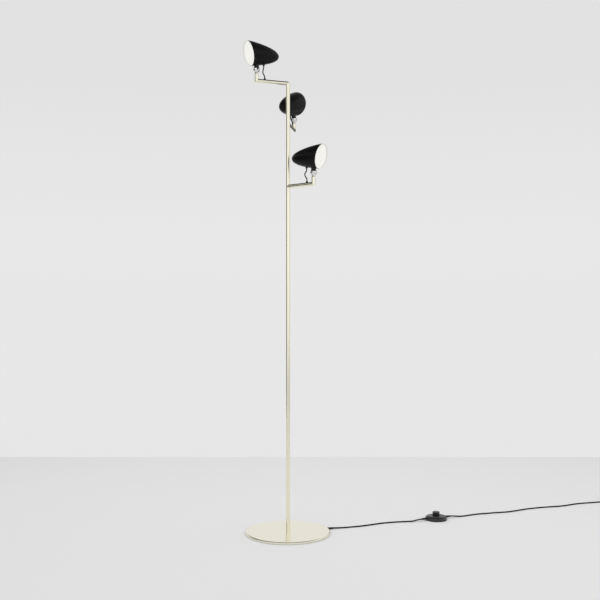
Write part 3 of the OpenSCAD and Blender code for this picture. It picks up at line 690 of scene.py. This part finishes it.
screw_black = plated_finish("blackened_steel", (0.05, 0.05, 0.052), (0.35, 0.5))
nylon = insulation_finish("black_nylon", (0.03, 0.03, 0.03))
for head in heads:
    finish_nodes(chrome, "knuckle_lower_" + head)
    finish_nodes(chrome_with_painted_reflection(head), "knuckle_upper_" + head)
    finish_nodes(screw_black, "knuckle_screw_" + head)
    finish_nodes(nylon, "knuckle_washer_" + head)
    finish_nodes(rubber, "shade_bush_" + head)


# Shades. Bullet-shaped shells spun from 1.5 mm aluminium, with a slanted mouth, powder-coated matt
# black outside and white inside. The neck and a cable bush pass through the underside.
shade_r, shade_len, shade_reach = 43 * mm, 114 * mm, 30 * mm
shade_wall = 1.5 * mm
mouth_slant = math.radians(15)
ball_r, ball_to_shade = 12 * mm, 1.4 * mm
body_power, body_round = 1.24, 0.45
nose_crowding = 1.6
neck_r = 5.05 * mm
bush_r = 4.25 * mm
bush_x = -27 * mm


def body_radius(x, inset=0.0):
    """Radius of the shade's outer face at x along its axis, drawn in by inset."""
    along = (x - shade_reach + shade_len - inset) / (shade_len - inset)
    along = min(1.0, max(0.0, along))
    return (shade_r - inset) * (1 - (1 - along) ** body_power) ** body_round


shade_rise = ball_r + ball_to_shade + body_radius(0)


def shade_tree():
    """Bends a flat grid into the shade's outer face, as wide at each x as the body's rule says."""
    tree = bpy.data.node_groups.new("spun_shade", "GeometryNodeTree")
    for label, kind in (("Mouth Radius", "NodeSocketFloat"), ("Body Length", "NodeSocketFloat"),
                        ("Reach", "NodeSocketFloat"), ("Rise", "NodeSocketFloat"),
                        ("Slant", "NodeSocketFloat"), ("Around", "NodeSocketInt"),
                        ("Along", "NodeSocketInt"), ("Material", "NodeSocketMaterial")):
        tree.interface.new_socket(label, in_out="INPUT", socket_type=kind)
    tree.interface.new_socket("Geometry", in_out="OUTPUT", socket_type="NodeSocketGeometry")
    given = add_node(tree, "NodeGroupInput").outputs
    nose = maths(tree, "SUBTRACT", given["Reach"], given["Body Length"])

    def radius_at(x):
        along = maths(tree, "DIVIDE", maths(tree, "SUBTRACT", x, nose), given["Body Length"])
        left = maths(tree, "MINIMUM", 1.0, maths(tree, "MAXIMUM", 0.0,
                     maths(tree, "SUBTRACT", 1.0, along)))
        full = maths(tree, "SUBTRACT", 1.0, maths(tree, "POWER", left, body_power))
        return maths(tree, "MULTIPLY", given["Mouth Radius"],
                     maths(tree, "POWER", full, body_round))

    grid = add_node(tree, "GeometryNodeMeshGrid", {
        "Size X": 1.0, "Size Y": 1.0, "Vertices X": given["Around"], "Vertices Y": given["Along"]})
    flat = add_node(tree, "ShaderNodeSeparateXYZ", {
        "Vector": add_node(tree, "GeometryNodeInputPosition").outputs[0]})
    angle = maths(tree, "MULTIPLY", flat.outputs["X"], math.tau)
    share = maths(tree, "POWER", maths(tree, "MAXIMUM", 0.0, maths(
        tree, "ADD", flat.outputs["Y"], 0.5)), nose_crowding)
    high, wide = maths(tree, "SINE", angle), maths(tree, "COSINE", angle)
    lean = maths(tree, "MULTIPLY", high, maths(tree, "TANGENT", given["Slant"]))
    mouth = maths(tree, "MULTIPLY_ADD", given["Mouth Radius"], lean, given["Reach"])
    for _ in range(3):
        mouth = maths(tree, "MULTIPLY_ADD", radius_at(mouth), lean, given["Reach"])
    x = maths(tree, "MULTIPLY_ADD", maths(tree, "SUBTRACT", mouth, nose), share, nose)
    radius = radius_at(x)
    bent = add_node(tree, "ShaderNodeCombineXYZ", {
        "X": x, "Y": maths(tree, "MULTIPLY", wide, radius),
        "Z": maths(tree, "MULTIPLY_ADD", high, radius, given["Rise"])})
    face = add_node(tree, "GeometryNodeSetPosition", {
        "Geometry": grid.outputs["Mesh"], "Position": bent.outputs[0]})
    sewn = add_node(tree, "GeometryNodeMergeByDistance", {
        "Geometry": face.outputs[0], "Distance": 0.005 * mm})
    real = add_node(tree, "GeometryNodeRealizeInstances", {"Geometry": sewn.outputs[0]})
    dressed = add_node(tree, "GeometryNodeSetMaterial", {
        "Geometry": real.outputs[0], "Material": given["Material"]})
    add_node(tree, "NodeGroupOutput", {"Geometry": dressed.outputs[0]})
    return tree


def set_inputs(modifier, values):
    """Sets a Geometry Nodes modifier's inputs, which are known by their sockets' identifiers."""
    for socket in modifier.node_group.interface.items_tree:
        if socket.in_out == "INPUT":
            modifier[socket.identifier] = values[socket.name]


def plain_mesh(piece, name):
    """The mesh that the piece's modifiers make of it. The piece itself is deleted."""
    seen = piece.evaluated_get(bpy.context.evaluated_depsgraph_get())
    mesh = bpy.data.meshes.new_from_object(seen)
    mesh.name = name
    bpy.data.objects.remove(piece)
    return mesh


def matt_paint_finish():
    """Matt powder coat with a fine orange-peel, a little glossier where it is rubbed."""
    material, tree, shader, place = new_finish("matt_black_paint", (0.0035, 0.0035, 0.0036),
                                               Specular_IOR_Level=0.13)
    give_tone(tree, shader, place, 0.16, 35.0, (0.32, 0.42))
    give_grain(tree, shader, place, 1300.0, 0.7, 0.25, 0.06 * mm)
    return material


def white_paint_finish():
    """Satin white enamel, sprayed inside the shade."""
    material, tree, shader, place = new_finish("white_enamel", (0.8, 0.8, 0.78))
    give_tone(tree, shader, place, 0.03, 50.0, (0.35, 0.5))
    give_grain(tree, shader, place, 1100.0, 0.6, 0.15, 0.06 * mm)
    return material


matt_black, white_enamel = matt_paint_finish(), white_paint_finish()
spun_shade = shade_tree()


def shade_mesh(name):
    """The spun shell with its wall, its two holes and a softened edge, in the shade's frame."""
    shell = bpy.data.objects.new(name, bpy.data.meshes.new(name))
    bpy.context.scene.collection.objects.link(shell)
    spun = shell.modifiers.new("spun", "NODES")
    spun.node_group = spun_shade
    set_inputs(spun, {
        "Mouth Radius": shade_r, "Body Length": shade_len, "Reach": shade_reach,
        "Rise": shade_rise, "Slant": mouth_slant, "Around": 145, "Along": 65,
        "Material": matt_black})
    wall = shell.modifiers.new("wall", "SOLIDIFY")
    wall.thickness = shade_wall
    wall.offset = -1
    wall.use_even_offset = True
    cutters = []
    for x, radius in ((0, neck_r), (bush_x, bush_r)):
        bore = filleted([(0, 0, 0), (radius / mm, 0, 0), (radius / mm, shade_rise / mm, 0),
                         (0, shade_rise / mm, 0)])
        cutter = bpy.data.objects.new(
            "bore", turned("bore", bore, Matrix.Translation((x, 0, 0)), 64))
        bpy.context.scene.collection.objects.link(cutter)
        cutters.append(cutter)
        hole = shell.modifiers.new("hole", "BOOLEAN")
        hole.object = cutter
        hole.solver = "EXACT"
    edge = shell.modifiers.new("edge", "BEVEL")
    edge.limit_method = "ANGLE"
    edge.angle_limit = math.radians(60)
    edge.width = 0.55 * mm
    edge.segments = 2
    mesh = plain_mesh(shell, name)
    for cutter in cutters:
        bpy.data.objects.remove(cutter)
    mesh.shade_smooth()
    mesh.set_sharp_from_angle(angle=math.radians(45))
    return mesh


def is_white(face):
    """Whether a face of the shell is one that the white enamel covers: its inside and its mouth."""
    radial = Vector((0, face.center.y, face.center.z - shade_rise)).normalized()
    ahead = Vector((math.cos(mouth_slant), 0, -math.sin(mouth_slant)))
    faces_out_of_mouth = face.normal.dot(ahead) > 0.95
    faces_inwards = face.normal.dot(radial) < -0.3
    return faces_out_of_mouth or faces_inwards


for head in heads:
    mesh = shade_mesh("spun_shade_" + head)
    white = [is_white(face) for face in mesh.polygons]
    mesh.transform(shade_frame(head))
    new_piece("spun_shade_" + head, mesh, matt_black, "head_" + head, "shade_black",
              "shade_" + head)
    mesh.materials.append(white_enamel)
    mesh.polygons.foreach_set("material_index", white)


# Light source. A white opal disc sits 2 mm inside the mouth, domed a little, with a moulding dimple
# at its centre. It glows softly. Behind it are a white reflector, the LED board, its aluminium heat
# sink and the steel nut on the swivel's neck.
disc_inset, disc_recess, disc_t, disc_dome = 1.7 * mm, 2 * mm, 3 * mm, 1.4 * mm
dimple_deep, dimple_share = 0.5 * mm, 0.055
rim_drop, rim_share = 0.4 * mm, 0.965


def mouth_point(angle, inset, depth):
    """A point on the body drawn in by inset, in the slanted plane that is depth behind the mouth."""
    x = shade_reach
    for _ in range(6):
        radius = body_radius(x, inset)
        x = (shade_reach - depth / math.cos(mouth_slant)
             + radius * math.sin(angle) * math.tan(mouth_slant))
    return Vector((x, radius * math.cos(angle), shade_rise + radius * math.sin(angle)))


def diffuser_mesh(name):
    """Front rings from the dimple out to the rim, then the rim's back edge, closed behind."""
    around = 96
    ahead = Vector((math.cos(mouth_slant), 0, -math.sin(mouth_slant)))
    shares = (0.012, 0.035, 0.05, 0.056, 0.1, 0.25, 0.4, 0.55, 0.7, 0.82, 0.91, 0.965, 0.99, 1.0)
    rims = [[mouth_point(math.tau * k / around, disc_inset, depth) for k in range(around)]
            for depth in (disc_recess + rim_drop, disc_recess + disc_t)]
    middle = sum(rims[0], Vector()) / around
    rows = []
    for share in shares:
        bulge = disc_dome * (1 - share ** 2) - (dimple_deep if share < dimple_share else 0)
        edge = rim_drop * (1 - max(0, (share - rim_share) / (1 - rim_share)) ** 2)
        rows.append([middle + (p - middle) * share + ahead * (bulge + edge) for p in rims[0]])
    rows.append(rims[1])
    points = [p for row in rows for p in row]
    quads = [(r * around + k, r * around + (k + 1) % around, (r + 1) * around + (k + 1) % around,
              (r + 1) * around + k) for r in range(len(rows) - 1) for k in range(around)]
    last = (len(rows) - 1) * around
    caps = [tuple(range(around)), tuple(range(last, last + around))]
    mesh = bpy.data.meshes.new(name)
    mesh.from_pydata(points, [], quads + caps)
    return closed(mesh, sharp=40)


def opal_finish():
    """Satin opal acrylic, lit warmly from behind."""
    material, tree, shader, place = new_finish(
        "opal_acrylic", (0.86, 0.85, 0.815), Emission_Strength=0.2)
    shader.inputs["Emission Color"].default_value = (1.0, 0.97, 0.9, 1)
    give_tone(tree, shader, place, 0.02, 30.0, (0.32, 0.42))
    give_grain(tree, shader, place, 1200.0, 0.5, 0.08, 0.03 * mm)
    return material


opal = opal_finish()
bright_aluminium = plated_finish("turned_aluminium", (0.70, 0.71, 0.72), (0.25, 0.4))
for head in heads:
    mesh = diffuser_mesh("opal_disc_" + head)
    mesh.transform(shade_frame(head))
    new_piece("opal_disc_" + head, mesh, opal, "head_" + head, "opal", "diffuser_" + head)
    finish_nodes(white_plastic, "reflector_" + head, "led_board_" + head)
    finish_nodes(bright_aluminium, "heat_sink_" + head)
    finish_nodes(zinc, "shade_nut_" + head)


# Jumper cables. A thin black flex loops from a bush in each arm to one under its shade, behind the
# swivel. Each is two pieces that meet at the loop's middle.
jumper_r = 2 * mm
tube_r, stem_rise, bush_back = 7 * mm, 40 * mm, 30 * mm
jumper_mid = {
    "top": [(-25.4, -1.4, 3.6), (-23.9, -1.2, -4.1), (-24, -0.9, -12), (-27.8, -0.2, -18.7)],
    "middle": [(-28.2, 7.2, -2.1), (-32.4, 3.1, -10.3), (-32.9, 0.6, -16.1)],
    "bottom": [(-28.4, -4.8, 5.7), (-36, -3.2, -1.9), (-36.5, -1.1, -9.9)],
}
jumper_run = {"top": (5.9, 4.6), "middle": (3.2, 5), "bottom": (4.1, 7)}
bush_mouth, root_in, foot_in = 4.2, 4.4, 5.8
half_steps = 30


def evenly(line, steps):
    """The same line, in the given number of steps of equal length."""
    whole, passed, even = line_length(line), 0.0, [line[0]]
    for a, b in zip(line, line[1:]):
        here = (b - a).length
        while len(even) < steps and passed + here >= whole * len(even) / steps:
            even.append(a.lerp(b, (whole * len(even) / steps - passed) / here))
        passed += here
    return even + [line[-1]]


for head in heads:
    to_arm = arm_frame(head)
    under = shade_rise - body_radius(bush_x)
    root_run, foot_run = jumper_run[head]
    root = [shade_frame(head) @ Vector((bush_x, 0, under - out * mm))
            for out in (-root_in, bush_mouth, bush_mouth + root_run)]
    foot = [to_arm @ Vector((-bush_back, 0, tube_r - stem_rise + up * mm))
            for up in (bush_mouth + foot_run, bush_mouth, -foot_in)]
    between = [to_arm @ (Vector(p) * mm) for p in jumper_mid[head]]
    line = evenly(smooth_line(root + between + foot, 12), 2 * half_steps)
    upper, lower = line[:half_steps + 1], line[half_steps:]
    for name, part, bodies, leaves_at in (
            ("jumper_upper_" + head, upper, ("head_" + head, "swivel_" + head), upper[0]),
            ("jumper_lower_" + head, lower, ("swivel_" + head, "stand"), lower[-1])):
        jumper = new_piece(name, swept_tube(name, part, jumper_r, 14), sheath, None,
                           "cable_black", "jumper_" + head)
        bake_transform(jumper)


# Room. A pale floor that ends at a pale wall, with soft lamps above. The wall is the world's color.
# What shines sees a brighter room instead, dark high up and on the left, with two dark bands low
# down, behind the lamp and on its right. They give the metal its edges.
def room_finish(name, color):
    """Matt paint, a little uneven over a large surface."""
    material, tree, shader, place = new_finish(name, color, Specular_IOR_Level=0.1)
    give_tone(tree, shader, place, 0.006, 0.8, (0.8, 0.9))
    return material


def flat_sheet(name, corners, material):
    """A flat piece of the room, which isn't part of the lamp."""
    mesh = bpy.data.meshes.new(name)
    mesh.from_pydata(corners, [], [tuple(range(len(corners)))])
    mesh.materials.append(material)
    sheet = bpy.data.objects.new(name, mesh)
    bpy.context.scene.collection.objects.link(sheet)


room_half, wall_left, wall_y = 9, -3.3, 1.49
flat_sheet("floor", [(wall_left, -room_half, 0), (room_half, -room_half, 0),
                     (room_half, wall_y, 0), (wall_left, wall_y, 0)],
           room_finish("floor_paint", (0.78, 0.78, 0.78)))


def soft_lamp(name, place, aim, size, power):
    """A large lamp that lights the scene from outside, and doesn't show in it or in reflections."""
    lamp = bpy.data.lights.new(name, "AREA")
    lamp.shape = "RECTANGLE"
    lamp.size, lamp.size_y = size
    lamp.energy = power
    stand = bpy.data.objects.new(name, lamp)
    stand.location = place
    stand.rotation_euler = (Vector(aim) - Vector(place)).to_track_quat("-Z", "Y").to_euler()
    stand.visible_camera = stand.visible_glossy = False
    bpy.context.scene.collection.objects.link(stand)


soft_lamp("lamp_above", (0.15, 0.55, 3.1), (0.15, 0.55, 0), (1.6, 1.6), 15)
soft_lamp("lamp_left", (-2.4, -2.6, 3.0), (0, 0, 0.9), (2.0, 2.0), 14)
soft_lamp("lamp_right", (2.8, -1.6, 2.4), (0, 0, 0.9), (1.4, 2.2), 12)

world = bpy.data.worlds.new("studio")
bpy.context.scene.world = world
world.use_nodes = True
sky = world.node_tree
sky.nodes.clear()
way = add_node(sky, "ShaderNodeSeparateXYZ", {
    "Vector": add_node(sky, "ShaderNodeTexCoord").outputs["Generated"]})
bearing = maths(sky, "DIVIDE", maths(sky, "ARCTAN2", way.outputs["X"], way.outputs["Y"]), math.tau)
height = maths(sky, "DIVIDE", maths(sky, "ARCSINE", way.outputs["Z"]), math.pi)


def level_ramp(name, factor, levels):
    """Greys that change with the factor, which is from -0.5 to 0.5."""
    ramp = add_node(sky, "ShaderNodeValToRGB", {
        "Fac": maths(sky, "ADD", factor, 0.5)}, label=name)
    stops = ramp.color_ramp.elements
    for stop, (position, level) in zip(stops, (levels[0], levels[-1])):
        stop.position, stop.color = position, (level, level, level, 1)
    for position, level in levels[1:-1]:
        stops.new(position).color = (level, level, level, 1)
    return ramp.outputs["Color"]


def bearings(*pairs):
    """Ramp stops from compass angles, -180 to 180, with 0 behind the lamp and 90 on its right."""
    return [(angle / 360 + 0.5, level) for angle, level in pairs]


def heights(*pairs):
    """Ramp stops from angles above level, -90 to 90."""
    return [(angle / 180 + 0.5, level) for angle, level in pairs]


front = level_ramp("in front", height, heights(
    (-90, 0.85), (-4, 0.88), (3, 1.0), (6, 1.06), (9, 0.93), (28, 0.9), (33, 0.12), (75, 0.12),
    (90, 0.5)))
back = level_ramp("behind", height, heights(
    (-90, 0.84), (42, 0.84), (47, 0.1), (72, 0.1), (90, 0.5)))
behind = add_node(sky, "ShaderNodeMapRange", {
    "Value": way.outputs["Y"], "From Min": -0.1, "From Max": 0.1})
open_room = add_node(sky, "ShaderNodeMix", {0: behind.outputs[0], 6: front, 7: back},
                     data_type="RGBA")
dark_sides = level_ramp("dark sides", bearing, bearings(
    (-180, 1), (-122, 1), (-112, 0.04), (-62, 0.04), (-54, 1), (8, 1), (13, 0.15), (31, 0.15),
    (37, 1), (52, 1), (57, 0.3), (63, 0.3), (68, 1), (180, 1)))
low_down = level_ramp("low down", height, heights((-90, 1), (14, 1), (18, 0), (90, 0)))
darkened = add_node(sky, "ShaderNodeMix", {0: low_down, 6: open_room.outputs[2], 7: dark_sides},
                    data_type="RGBA", blend_type="MULTIPLY")
dark_left = level_ramp("dark upper left", bearing, bearings(
    (-180, 1), (-122, 1), (-112, 0.12), (-16, 0.12), (-8, 1), (180, 1)))
high_up = level_ramp("high up", height, heights(
    (-90, 0), (26, 0), (30, 1), (56, 1), (62, 0), (90, 0)))
shone = add_node(sky, "ShaderNodeMix", {0: high_up, 6: darkened.outputs[2], 7: dark_left},
                 data_type="RGBA", blend_type="MULTIPLY")
wall_seen = level_ramp("wall", height, heights(
    (-90, 0.78), (0, 0.80), (4, 0.81), (14, 0.76), (90, 0.76)))
paths = add_node(sky, "ShaderNodeLightPath")
lit = add_node(sky, "ShaderNodeMix", {
    0: paths.outputs["Is Glossy Ray"], 6: (0.78, 0.78, 0.78, 1), 7: shone.outputs[2]},
    data_type="RGBA")
seen_color = add_node(sky, "ShaderNodeMix", {
    0: paths.outputs["Is Camera Ray"], 6: lit.outputs[2], 7: wall_seen}, data_type="RGBA")
glow = add_node(sky, "ShaderNodeBackground", {"Color": seen_color.outputs[2]})
add_node(sky, "ShaderNodeOutputWorld", {"Surface": glow.outputs[0]})
bpy.context.scene.view_settings.view_transform = "Standard"
